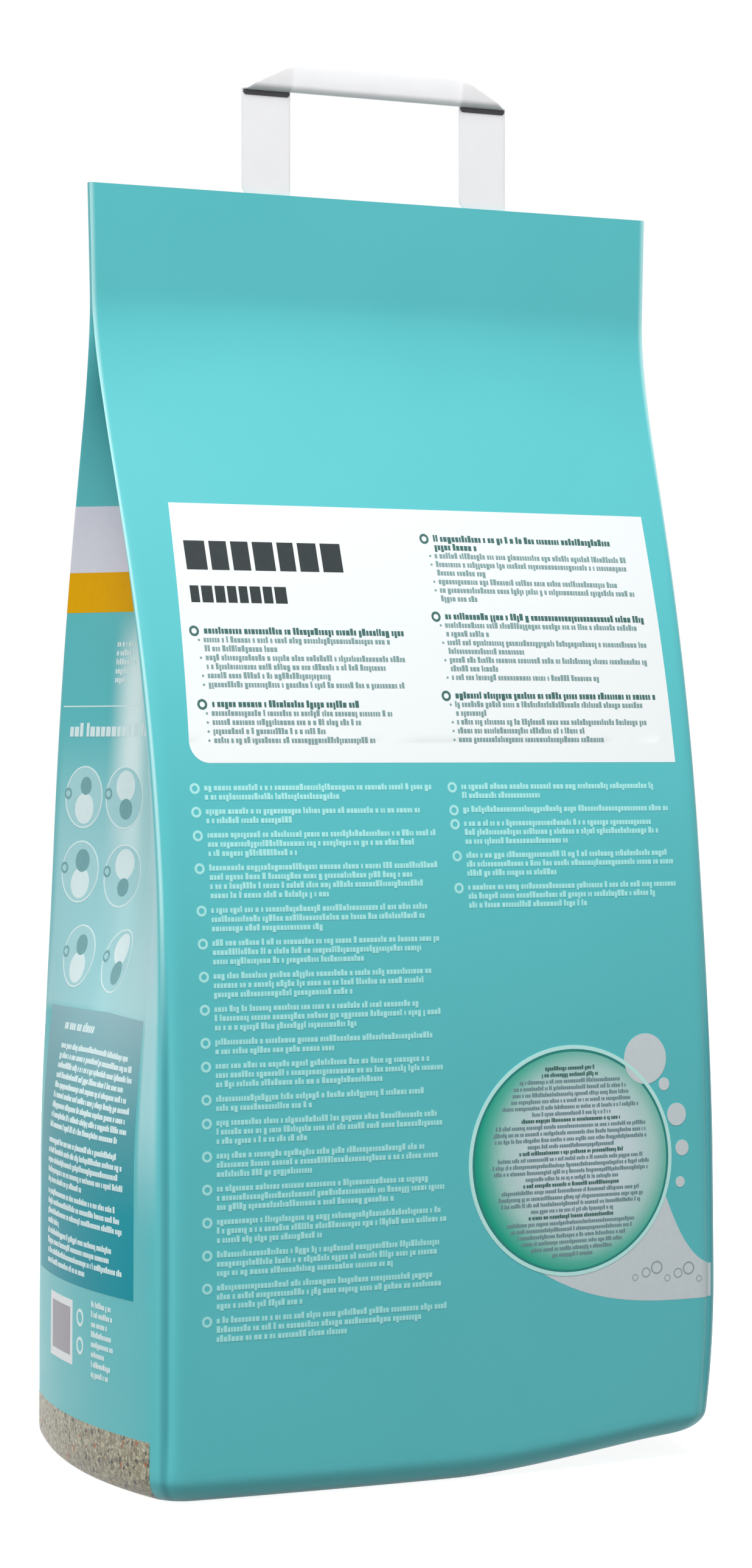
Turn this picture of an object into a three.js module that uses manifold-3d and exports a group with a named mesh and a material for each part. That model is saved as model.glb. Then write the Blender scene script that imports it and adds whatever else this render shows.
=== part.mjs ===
// A filled ten-litre bag of cat litter, standing upright, with a strap handle in its top seal.
// Millimetres, +Z up. The origin is on the floor under the middle of the bag. X runs across the two
// printed faces, and the information panel is on the -Y face.

import * as THREE from "three";
import { mergeVertices } from "three/addons/utils/BufferGeometryUtils.js";
import Module from "manifold-3d";

const wasm = await Module();
wasm.setup();

// Overall sizes of the bag
const bagWidth = 250; // across a face, at the flat seal
const bagDepth = 140; // between the two faces, where the bag is fullest
const bagHeight = 512; // floor to the top edge of the seal

// Flat seal band
const sealBand = 44; // the faces lie together over this height below the top edge
const sealThickness = 2.4; // films, side folds and strap ends pressed together

// Shape of the filled film
const closeSlow = 3.8; // a higher value keeps the bag full for longer as it rises
const closeSharp = 1.62; // a higher value makes the faces meet more softly
const faceBow = 4; // the middle of a face stands out this far beyond its edges
const sideInset = 3.6; // each side has come in this much at the waist
const waistHeight = 220; // the sides draw in on an arc from the top edge down to here
const sideBulge = 8; // a filled side stands out this far beyond its edges
const tuckDepth = 20; // the side's centre fold goes in this far above the filling
const tuckStart = 120; // below this height the side's centre fold has opened flat
const tuckFull = 250; // above this height it has its full depth
const tuckedBy = 0.16; // the fold is at its full depth where the bag has this share of its depth
const roundedBy = 0.6; // the upright edges are at their full round where it has this share
const cornerPull = 2; // the upright edges are rounded back by this much
const cornerFocus = 6; // a higher value keeps that rounding closer to the edge
const footRadius = 14; // round of the lower edges, above the flat underside

// Strap handle
const strapWidth = 21;
const strapThickness = 0.8;
const layerLap = 0.1; // the folded layers are welded into each other by this much
const handleWidth = 118.5; // outside both legs
const legHeight = 39.5; // the legs show this far above the seal's top edge
const legInSeal = 26; // and run down this far inside it
const gripLeanStart = THREE.MathUtils.degToRad(-10); // the grip's section leaves the legs at this lean
const gripLeanEnd = THREE.MathUtils.degToRad(110); // and has curled forwards to this one
const cornerTip = 1.5; // the legs' pointed ends stop this far short of their points
const slotGap = 0.3; // clear space around a strap end in the seal

// How finely the shapes are divided
const acrossSteps = 20;
const deepSteps = 10;
const footSteps = 5;
const bodySteps = 28;
const sealSteps = 3;
const gripSteps = 12;

// Colours of the materials
const filmColour = 0x62bcc0;
const strapColour = 0xe4e4e6;

const smooth = (value, from, to) => THREE.MathUtils.smoothstep(value, from, to);

const closeHeight = bagHeight - sealBand; // here the faces have come together

// The share of the full depth that the bag still has at a height.
function fullness(z) {
  return z < closeHeight ? (1 - (z / closeHeight) ** closeSlow) ** closeSharp : 0;
}

// How far the section has drawn in on the round at the foot.
function footInset(z) {
  if (z >= footRadius) return 0;
  const down = 1 - z / footRadius;
  return footRadius * (1 - Math.sqrt(1 - down * down));
}

// How far each side has come in at a height between the top edge and the waist.
function drawnIn(z) {
  const up = Math.max(0, (z - waistHeight) / (bagHeight - waistHeight));
  return sideInset * (1 - up * up);
}

// A point of the bag. u runs from -1 to 1 across the faces and v from -1 to 1 between them.
function bagPoint(u, v, z) {
  const full = fullness(z);
  const inset = footInset(z);
  const rounded = smooth(full, 0, roundedBy);
  const halfWidth = bagWidth / 2 - drawnIn(z) - inset;
  const halfDepth = sealThickness / 2 + ((bagDepth - sealThickness) / 2) * full - inset;
  const folded = smooth(z, tuckStart, tuckFull);
  const tuck = tuckDepth * folded * smooth(full, 0, tuckedBy);
  const bulge = sideBulge * (1 - folded);
  const side = tuck * (1 - Math.abs(v)) - bulge * (1 - v * v);
  const corner = cornerPull * rounded * (u * u * v * v) ** cornerFocus;
  const x = u * (halfWidth - side) - Math.sign(u) * corner;
  const y = v * (halfDepth + faceBow * Math.sqrt(full) * (1 - u * u)) - Math.sign(v) * corner;
  return new THREE.Vector3(x, y, z);
}

// Heights of the bag's rings: close together on the round foot, then even up to the seal and in it.
function ringHeights() {
  const heights = [];
  for (let i = 0; i < footSteps; i++) {
    heights.push(footRadius * (1 - Math.cos((i / footSteps) * (Math.PI / 2))));
  }
  for (let i = 0; i < bodySteps; i++) {
    heights.push(footRadius + ((closeHeight - footRadius) * i) / bodySteps);
  }
  for (let i = 0; i <= sealSteps; i++) {
    heights.push(closeHeight + ((bagHeight - closeHeight) * i) / sealSteps);
  }
  return heights;
}

// A closed box of unit half sizes whose every point is moved to where place(x, y, z) says.
function mappedBox(xSteps, ySteps, zSteps, place) {
  const box = new THREE.BoxGeometry(2, 2, 2, xSteps, ySteps, zSteps);
  box.deleteAttribute("normal");
  box.deleteAttribute("uv");
  const merged = mergeVertices(box);
  const at = merged.getAttribute("position");
  for (let i = 0; i < at.count; i++) {
    const p = place(at.getX(i), at.getY(i), at.getZ(i));
    at.setXYZ(i, p.x, p.y, p.z);
  }
  return merged;
}

function toSolid(geometry) {
  const vertProperties = new Float32Array(geometry.getAttribute("position").array);
  const triVerts = new Uint32Array(geometry.index.array);
  return new wasm.Manifold(new wasm.Mesh({ numProp: 3, vertProperties, triVerts }));
}

function toGeometry(solid) {
  const mesh = solid.getMesh();
  const geometry = new THREE.BufferGeometry();
  geometry.setAttribute("position", new THREE.BufferAttribute(mesh.vertProperties, 3));
  geometry.setIndex(new THREE.BufferAttribute(mesh.triVerts, 1));
  geometry.computeVertexNormals();
  return geometry;
}

function filledBag() {
  const heights = ringHeights();
  const rings = heights.length - 1;
  const body = mappedBox(acrossSteps, deepSteps, rings, (x, y, z) =>
    bagPoint(x, y, heights[Math.round(((z + 1) / 2) * rings)]),
  );
  return toSolid(body);
}

// One of the two narrow pockets in the seal that hold the strap's ends.
function strapSlot(side) {
  const depth = legInSeal + slotGap;
  const above = 1; // the cutter stands this far out of the seal
  const slot = new THREE.BoxGeometry(
    strapWidth + 2 * slotGap,
    strapThickness + 2 * slotGap,
    depth + above,
  );
  slot.deleteAttribute("normal");
  slot.deleteAttribute("uv");
  slot.translate(side * (handleWidth - strapWidth) / 2, 0, bagHeight + (above - depth) / 2);
  return toSolid(mergeVertices(slot));
}

// A point of the strap, at the distance along its legs and grip that is measured from the leg tops,
// and at a distance out in front of its middle surface.
function strapPoint(x, along, front) {
  const hinge = bagHeight + legHeight;
  if (along <= 0) return new THREE.Vector3(x, -front, hinge + along);
  const radius = strapWidth / (gripLeanEnd - gripLeanStart);
  const lean = gripLeanStart + along / radius;
  const y = radius * (Math.cos(lean) - Math.cos(gripLeanStart)) - front * Math.cos(lean);
  const z = hinge + radius * (Math.sin(lean) - Math.sin(gripLeanStart)) - front * Math.sin(lean);
  return new THREE.Vector3(x, y, z);
}

// The grip is the strap turned across the top. Its ends are cut off at 45 degrees by the folds.
function grip() {
  const inFront = strapThickness - layerLap;
  return toSolid(
    mappedBox(acrossSteps, 1, gripSteps, (x, y, z) => {
      const along = ((z + 1) / 2) * strapWidth;
      const reach = handleWidth / 2 - along;
      return strapPoint(x * reach, along, inFront - (y * strapThickness) / 2);
    }),
  );
}

// A leg rises behind the grip and narrows to a point along the fold.
function leg(side) {
  const foot = -(legHeight + legInSeal);
  const stops = [foot, -legHeight, 0];
  for (let i = 1; i <= gripSteps; i++) {
    stops.push(((strapWidth - cornerTip) * i) / gripSteps);
  }
  return toSolid(
    mappedBox(4, 1, stops.length - 1, (x, y, z) => {
      const along = stops[Math.round(((z + 1) / 2) * (stops.length - 1))];
      const outer = handleWidth / 2 - Math.max(0, along);
      const inner = handleWidth / 2 - strapWidth;
      const middle = (side * (outer + inner)) / 2;
      return strapPoint(middle + (x * (outer - inner)) / 2, along, (-y * strapThickness) / 2);
    }),
  );
}

function namedMesh(name, solid, colour, roughness) {
  const material = new THREE.MeshStandardMaterial({ color: colour, roughness, metalness: 0 });
  const mesh = new THREE.Mesh(toGeometry(solid), material);
  mesh.name = name;
  return mesh;
}

const litterBag = new THREE.Group();
litterBag.name = "litter_bag";

const bag = filledBag().subtract(strapSlot(-1)).subtract(strapSlot(1));
litterBag.add(namedMesh("bag", bag, filmColour, 0.45));

const handle = grip().add(leg(-1)).add(leg(1));
litterBag.add(namedMesh("carry_handle", handle, strapColour, 0.5));

export default litterBag;
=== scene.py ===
# A filled ten-litre cat litter bag: one web of printed film round the filling, and a strap handle
# that is folded at its two upper corners and welded into the top seal.
import math

import bmesh
import bpy
import numpy as np
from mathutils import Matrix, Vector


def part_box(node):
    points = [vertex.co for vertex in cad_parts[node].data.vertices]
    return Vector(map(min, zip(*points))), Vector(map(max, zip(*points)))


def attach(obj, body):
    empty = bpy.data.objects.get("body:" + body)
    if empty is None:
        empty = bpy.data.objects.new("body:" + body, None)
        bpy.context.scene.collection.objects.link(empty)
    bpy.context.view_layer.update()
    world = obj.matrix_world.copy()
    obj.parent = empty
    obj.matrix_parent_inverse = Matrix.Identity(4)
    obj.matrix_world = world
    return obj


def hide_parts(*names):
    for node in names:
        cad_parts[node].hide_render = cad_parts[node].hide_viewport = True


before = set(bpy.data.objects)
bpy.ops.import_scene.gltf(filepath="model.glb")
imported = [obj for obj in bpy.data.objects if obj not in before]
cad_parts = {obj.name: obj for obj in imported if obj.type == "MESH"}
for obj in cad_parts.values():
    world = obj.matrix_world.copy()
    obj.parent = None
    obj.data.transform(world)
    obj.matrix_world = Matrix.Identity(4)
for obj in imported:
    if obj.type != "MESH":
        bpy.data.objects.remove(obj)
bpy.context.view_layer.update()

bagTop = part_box("bag")[1].z * 1000  # mm, like every size on the film below
mm = 0.001


# Small helpers

def srgb(hexColour):
    parts = [int(hexColour[i:i + 2], 16) / 255 for i in (1, 3, 5)]
    return [p / 12.92 if p <= 0.04045 else ((p + 0.055) / 1.055) ** 2.4 for p in parts] + [1.0]


def setInputs(tree, node, inputs):
    # A socket is linked, and anything else is set as the input's own value.
    for key, value in inputs.items():
        if isinstance(value, bpy.types.NodeSocket):
            tree.links.new(value, node.inputs[key])
        else:
            node.inputs[key].default_value = value


def addNode(tree, kind, inputs=None, **settings):
    node = tree.nodes.new(kind)
    for name, value in settings.items():
        setattr(node, name, value)
    setInputs(tree, node, inputs or {})
    return node


def webAndUp(tree):
    # A point's place in the film's flat web map, in mm.
    place = addNode(tree, "ShaderNodeUVMap", uv_map="web").outputs[0]
    return addNode(tree, "ShaderNodeSeparateXYZ", {0: place}).outputs[:2]


def setStops(ramp, stops):
    elements = ramp.color_ramp.elements
    while len(elements) < len(stops):
        elements.new(0.5)
    for element, (position, hexColour) in zip(elements, stops):
        element.position = position
        element.color = srgb(hexColour)


def newMaterial(name):
    material = bpy.data.materials.new(name)
    material.use_nodes = True
    tree = material.node_tree
    return material, tree, tree.nodes["Principled BSDF"]


def smooth(value, start, end):
    t = np.clip((value - start) / (end - start), 0, 1)
    return t * t * (3 - 2 * t)


def newObject(name, data):
    thing = bpy.data.objects.new(name, data)
    bpy.context.scene.collection.objects.link(thing)
    return thing


def meshObject(name, vertices, faces, material, webUv=None, sharpAbove=None):
    mesh = bpy.data.meshes.new(name)
    mesh.from_pydata(np.asarray(vertices).tolist(), [], faces)
    if webUv is not None:  # one (web, up) pair for each face corner, in mm
        layer = mesh.uv_layers.new(name="web")
        layer.data.foreach_set("uv", np.asarray(webUv, np.float32).ravel())
    mesh.polygons.foreach_set("use_smooth", [True] * len(mesh.polygons))
    mesh.materials.append(material)
    mesh.update()
    if sharpAbove:  # degrees
        mesh.set_sharp_from_angle(angle=math.radians(sharpAbove))
    return newObject(name, mesh)


def plateFaces(rows, columns):
    # Faces of a closed plate: a grid of points, the same grid behind it, and a wall round the rim.
    under = rows * columns
    faces = []
    for i in range(rows - 1):
        for j in range(columns - 1):
            a = i * columns + j
            quad = (a, a + 1, a + columns + 1, a + columns)
            faces += [quad, tuple(under + q for q in reversed(quad))]
    rim = list(range(columns - 1))
    rim += [i * columns + columns - 1 for i in range(rows - 1)]
    rim += [(rows - 1) * columns + j for j in range(columns - 1, 0, -1)]
    rim += [i * columns for i in range(rows - 1, 0, -1)]
    for a, b in zip(rim, rim[1:] + rim[:1]):
        faces.append((b, a, under + a, under + b))
    return faces


# Shape of the film. A place on it is given as on the flat web: "web" runs round the bag from the
# middle of the information face, towards +X, and "up" runs from the floor to the top edge.

film = {
    "faceWidth": 250.0,
    "sideWidth": 140.0,
    "height": bagTop,
    "sealBand": 44.0,
    "sealThickness": 2.4,
    "closeSlow": 4.1,
    "closeSharp": 1.8,
    "faceBow": 4.0,
    "sideInset": 3.6,
    "waistHeight": 220.0,
    "footFlare": 0.64,
    "flareHeight": 150.0,
    "sideBulge": 10.0,
    "tuckDepth": 20.0,
    "tuckDeeper": 16.0,
    "tuckStart": 120.0,
    "tuckFull": 250.0,
    "tuckedBy": 0.16,
    "sharpFold": 0.7,  # reach of a fold's round where the bag is flat
    "softFold": 9.0,  # and where it is full
    "footRadius": 10.5,
    "cornerLift": 10.0,  # the corner at +X of the information face stands off the floor by this much
    "liftHeight": 120.0,
    "cornerPull": 5.5,  # and has come in by this much at the floor
    "pullHeight": 75.0,
    "creaseDepth": 1.2,  # a pressed line runs up beside each upright edge, on the face
    "creaseIn": 3.0,
    "creaseHalf": 1.6,
    "creaseFoot": (4, 30),  # it fades in between these heights
    "creaseTop": (150.0, 235.0),  # and out between these
}
faceHalf = film["faceWidth"] / 2
sideWidth = film["sideWidth"]
webWidth = 2 * (film["faceWidth"] + sideWidth)
webStart = -faceHalf - sideWidth  # the rear edge of the side at -X
footEnd = film["footRadius"] * (1 - math.pi / 2)  # up, where the film has turned under


def sectionAt(z):
    close = film["height"] - film["sealBand"]
    share = np.clip(z, 0, close) / close
    full = np.clip(1 - share ** film["closeSlow"], 0, 1) ** film["closeSharp"]
    climb = np.clip((z - film["waistHeight"]) / (film["height"] - film["waistHeight"]), 0, 1)
    halfWidth = faceHalf - film["sideInset"] * (1 - climb * climb)
    halfWidth = halfWidth + film["footFlare"] * smooth(z, film["flareHeight"], 0)
    halfDepth = film["sealThickness"] / 2 + (sideWidth - film["sealThickness"]) / 2 * full
    folded = smooth(z, film["tuckStart"], film["tuckFull"])
    deep = film["tuckDepth"] + film["tuckDeeper"] * (1 - full)
    tuck = deep * folded * smooth(full, 0, film["tuckedBy"])
    bulge = film["sideBulge"] * (1 - folded)
    return full, halfWidth, halfDepth, tuck, bulge


def sharpOutline(along, section, inset):
    # The section's outline with sharp folds. "along" starts at the rear edge of the side at -X.
    full, halfWidth, halfDepth, tuck, bulge = section
    along = along % webWidth
    nearFace = sideWidth
    farSide = sideWidth + film["faceWidth"]
    farFace = farSide + sideWidth
    onSide = (along < nearFace) | ((along >= farSide) & (along < farFace))
    v = np.where(along < nearFace, 1 - 2 * along / sideWidth, 2 * (along - farSide) / sideWidth - 1)
    u = np.where(along < farSide, (along - nearFace) / faceHalf - 1, 1 - (along - farFace) / faceHalf)
    hand = np.where(along < nearFace, -1, 1)
    front = np.where(along < farSide, -1, 1)
    wide = halfWidth - inset
    thick = halfDepth - inset
    sideX = wide - tuck * (1 - np.abs(v)) + bulge * (1 - v * v)
    faceY = thick + film["faceBow"] * np.sqrt(full) * (1 - u * u)
    x = np.where(onSide, hand * sideX, u * wide)
    y = np.where(onSide, v * thick, front * faceY)
    return np.stack([x, y], -1)


def liftAt(x, y, z):
    low = np.clip(1 - z / film["liftHeight"], 0, 1) ** 2
    return film["cornerLift"] * smooth(x, 0, faceHalf) * low * np.clip(0.5 - y / sideWidth, 0, 1)


def pullAt(x, y, z):
    low = np.clip(1 - z / film["pullHeight"], 0, 1) ** 2
    outwards = smooth(x, faceHalf / 2, faceHalf)
    return film["cornerPull"] * outwards * low * np.clip(0.5 - y / sideWidth, 0, 1)


def surfacePoint(web, up):
    radius = film["footRadius"]
    turned = np.clip((radius - up) / radius, 0, math.pi / 2)
    z = np.where(up >= radius, up, radius * (1 - np.sin(turned)))
    inset = radius * (1 - np.cos(turned))
    section = sectionAt(z)
    along = web - webStart
    outline = sharpOutline(along, section, inset)
    reach = film["sharpFold"] + film["softFold"] * smooth(section[0], 0, 1)
    edges = [0, sideWidth, sideWidth + film["faceWidth"], 2 * sideWidth + film["faceWidth"]]
    tucks = [sideWidth / 2, sideWidth * 1.5 + film["faceWidth"]]
    near = 0.5  # the two directions at a fold are read this far from it
    for fold in edges + tucks:
        away = np.abs((along - fold + webWidth / 2) % webWidth - webWidth / 2)
        ends = [sharpOutline(np.full_like(along, fold + d), section, inset) for d in (-near, 0, near)]
        turn = (ends[0] - 2 * ends[1] + ends[2]) / near
        rounding = reach / 4 * np.clip(1 - away / reach, 0, 1) ** 2
        outline = outline + turn * rounding[..., None]
    x, y = outline[..., 0], outline[..., 1]
    return np.stack([x - pullAt(x, y, z), y, z + liftAt(x, y, z)], -1)


def creaseAt(web, up):
    around = (web + faceHalf + sideWidth) % webWidth
    fromFront = np.abs(around - sideWidth - faceHalf)
    fromBack = np.abs(around - 2 * sideWidth - 3 * faceHalf)
    inside = faceHalf - np.minimum(fromFront, fromBack)
    line = np.exp(-((inside - film["creaseIn"]) / film["creaseHalf"]) ** 2)
    low, high = film["creaseTop"]
    footLow, footHigh = film["creaseFoot"]
    return film["creaseDepth"] * line * smooth(up, high, low) * smooth(up, footLow, footHigh)


def filmPoint(web, up, proud=0.0):
    # A place on the film, or this far proud of it, in metres.
    web, up, proud = np.broadcast_arrays(*(np.asarray(a, float) for a in (web, up, proud)))
    step = 0.25
    across = surfacePoint(web + step, up) - surfacePoint(web - step, up)
    upward = surfacePoint(web, up + step) - surfacePoint(web, up - step)
    normal = np.cross(across, upward)
    normal /= np.linalg.norm(normal, axis=-1, keepdims=True)
    return (surfacePoint(web, up) + (proud - creaseAt(web, up))[..., None] * normal) * mm


def crowded(start, end, count, crowding=0.85):
    # Places from start to end that lie closer together towards both ends.
    t = np.linspace(0, 1, count + 1)
    return start + (end - start) * (t - crowding * np.sin(2 * np.pi * t) / (2 * np.pi))


halfSide = sideWidth / 2
faceSteps, foldSteps = 64, 18
underUp = 150.0  # the underside's own patch of the web map lies this far below the foot
flap = {"valley": 0.7, "edge": 9.0, "slope": 5.0, "mitre": 0.35}  # folded bottom, recessed lines
stretches = [halfSide, halfSide, film["faceWidth"], halfSide, halfSide, film["faceWidth"]]
webPlaces = [webStart]
for length in stretches:
    steps = faceSteps if length > halfSide else foldSteps
    webPlaces += list(crowded(webPlaces[-1], webPlaces[-1] + length, steps)[1:])
webPlaces = np.array(webPlaces)
twiceRound = np.concatenate([webPlaces, webPlaces[1:] + webWidth])
sealLow = film["height"] - film["sealBand"]
footRows, bodyRows, sealRows = 13, 151, 12
upPlaces = np.concatenate([
    np.linspace(footEnd, film["footRadius"], footRows)[:-1],
    np.linspace(film["footRadius"], sealLow, bodyRows)[:-1],
    np.linspace(sealLow, film["height"], sealRows),
])


# Camera, as the photograph was taken

view = {
    "azimuth": -24.81,  # degrees round the bag from its information face
    "distance": 1.4675,  # m, from the bag's upright axis
    "pitch": 0.39,  # degrees down
    "aimHeight": 0.2788,
    "focalPixels": 5875.0,
    "imageSize": (1236, 2576),
    "centrePixel": (617.0, 1267.1),
}


def makeCamera():
    data = bpy.data.cameras.new("camera")
    camera = newObject("camera", data)
    width, height = view["imageSize"]
    data.sensor_width = 36
    data.lens = view["focalPixels"] / height * data.sensor_width
    data.shift_x = (width / 2 - view["centrePixel"][0]) / height
    data.shift_y = (view["centrePixel"][1] - height / 2) / height
    turn, pitch = math.radians(view["azimuth"]), math.radians(view["pitch"])
    away = view["distance"]
    camera.location = (
        away * math.sin(turn) * math.cos(pitch),
        -away * math.cos(turn) * math.cos(pitch),
        view["aimHeight"] + away * math.sin(pitch),
    )
    camera.rotation_euler = (math.pi / 2 - pitch, 0, turn)
    data.clip_start, data.clip_end = 0.05, 50
    bpy.context.scene.camera = camera


makeCamera()
print("camera placed")


# Materials of the film and the inks

def printedFilm():
    # Blown polyethylene film with a reverse print: an even colour under a satin skin that gives
    # soft, wide highlights, with faint dents where the granules press from inside.
    material, tree, shader = newMaterial("polyethylene film, printed, satin")
    place = addNode(tree, "ShaderNodeTexCoord").outputs["Object"]
    web, up = webAndUp(tree)

    # The print's ground colour, with a little unevenness of the ink.
    density = addNode(tree, "ShaderNodeTexNoise", {"Vector": place, "Scale": 1000 / 60, "Detail": 3.0})
    colour = addNode(tree, "ShaderNodeMix", {
        "Factor": density.outputs[0], 6: srgb("#57BDC2"), 7: srgb("#5DC3C8"),
    }, data_type="RGBA").outputs[2]

    # A pale glow on the side at -X, behind its discs: partly a printed pale tint and partly painted
    # highlight where the side's film turns towards the light, whitest near its middle fold and along its
    # front edge. Each part of it is a box in the web map with soft edges.
    tintAndHighlightBoxes = [
        # west, east, low and high, each with the reach of its fade, then amount and colour
        (-262.0, 8.0, -127.0, 5.0, 180.0, 6.0, 306.0, 62.0, 0.9, "#A5DBE0"),
        (-216.0, 14.0, -127.0, 5.0, 150.0, 60.0, 352.0, 20.0, 0.85, "#B4E4E7"),
        (-227.0, 18.0, -197.0, 10.0, 205.0, 85.0, 350.0, 34.0, 1.0, "#EAFFFF"),
        (-142.0, 3.0, -127.0, 4.0, 96.0, 60.0, 345.0, 40.0, 0.8, "#B5E6EB"),
    ]
    for west, westFade, east, eastFade, low, lowFade, high, highFade, amount, tint in tintAndHighlightBoxes:
        across = [(web, west, westFade), (web, east, -eastFade)]
        for value, edge, reach in across + [(up, low, lowFade), (up, high, -highFade)]:
            fade = addNode(tree, "ShaderNodeMapRange", {
                0: value, 1: edge, 2: edge + reach,
            }, interpolation_type="SMOOTHSTEP").outputs[0]
            amount = addNode(tree, "ShaderNodeMath", {0: fade, 1: amount}, operation="MULTIPLY").outputs[0]
        colour = addNode(tree, "ShaderNodeMix", {
            "Factor": amount, 6: colour, 7: srgb(tint),
        }, data_type="RGBA").outputs[2]

    # Painted light along the two upright edges of the information face: higher up, a pale painted
    # highlight along each fold where its round catches the light; lower down, a line of deeper painted
    # shade at the fold instead.
    fromFold = addNode(tree, "ShaderNodeMath", {0: web}, operation="ABSOLUTE").outputs[0]
    fromFold = addNode(tree, "ShaderNodeMath", {0: fromFold, 1: faceHalf}, operation="SUBTRACT").outputs[0]
    foldHighlightAndShade = [
        # middle, half width, height where it starts, height where it is full, amount, colour
        (0.0, 2.4, 165.0, 235.0, 0.75, "#BFEFF0"),
        (-0.4, 3.0, 225.0, 165.0, 0.9, "#46A2AA"),
    ]
    core = 0.3  # a line has its full amount this near its middle
    for middle, half, starts, fullAt, amount, tint in foldHighlightAndShade:
        away = addNode(tree, "ShaderNodeMath", {0: fromFold, 1: middle}, operation="SUBTRACT").outputs[0]
        away = addNode(tree, "ShaderNodeMath", {0: away}, operation="ABSOLUTE").outputs[0]
        line = addNode(tree, "ShaderNodeMapRange", {
            0: away, 1: half, 2: core, 4: amount,
        }, interpolation_type="SMOOTHSTEP").outputs[0]
        there = addNode(tree, "ShaderNodeMapRange", {0: up, 1: starts, 2: fullAt}).outputs[0]
        share = addNode(tree, "ShaderNodeMath", {0: line, 1: there}, operation="MULTIPLY").outputs[0]
        colour = addNode(tree, "ShaderNodeMix", {
            "Factor": share, 6: colour, 7: srgb(tint),
        }, data_type="RGBA").outputs[2]

    # Satin skin: a haze in the film, and dents of 3 mm granules below the fill line.
    haze = addNode(tree, "ShaderNodeTexNoise", {"Vector": place, "Scale": 1000 / 18, "Detail": 4.0})
    rough = addNode(tree, "ShaderNodeMapRange", {0: haze.outputs[0], 3: 0.36, 4: 0.46})
    grain = addNode(tree, "ShaderNodeTexVoronoi", {
        "Vector": place, "Scale": 1000 / 3.2,
    }, feature="SMOOTH_F1")
    filled = addNode(tree, "ShaderNodeMapRange", {0: up, 1: 340.0, 2: 260.0})
    dents = addNode(tree, "ShaderNodeMath", {
        0: grain.outputs[0], 1: filled.outputs[0],
    }, operation="MULTIPLY")
    bump = addNode(tree, "ShaderNodeBump", {
        "Height": dents.outputs[0], "Distance": 0.03 * mm, "Strength": 0.5,
    })
    setInputs(tree, shader, {
        "Base Color": colour, "Roughness": rough.outputs[0], "Normal": bump.outputs[0],
        "IOR": 1.5, "Specular IOR Level": 0.36,
    })
    return material


def inkMaterial(name, hexColour, deeper, gloss=0.3):
    # Flexographic ink on film: flat colour whose density wanders slightly over 2.5 mm, a little
    # duller than the bare film beside it.
    material, tree, shader = newMaterial(name)
    place = addNode(tree, "ShaderNodeTexCoord").outputs["Object"]
    density = addNode(tree, "ShaderNodeTexNoise", {"Vector": place, "Scale": 1000 / 2.5, "Detail": 2.0})
    colour = addNode(tree, "ShaderNodeMix", {
        "Factor": density.outputs[0], 6: srgb(hexColour), 7: srgb(deeper),
    }, data_type="RGBA")
    setInputs(tree, shader, {
        "Base Color": colour.outputs[2], "Roughness": 0.45, "Specular IOR Level": gloss,
    })
    return material


def printedTintAndPaintedLight(name, stops, start, end, gloss=0.1):
    # A colour that changes up the web: a printed tint on the side notice, and painted light on the white
    # panel, whose ink is made paler low down.
    material, tree, shader = newMaterial(name)
    share = addNode(tree, "ShaderNodeMapRange", {0: webAndUp(tree)[1], 1: start, 2: end})
    ramp = addNode(tree, "ShaderNodeValToRGB", {0: share.outputs[0]})
    setStops(ramp, stops)
    setInputs(tree, shader, {
        "Base Color": ramp.outputs[0], "Roughness": 0.42, "Specular IOR Level": gloss,
    })
    return material


# The film itself

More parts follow.
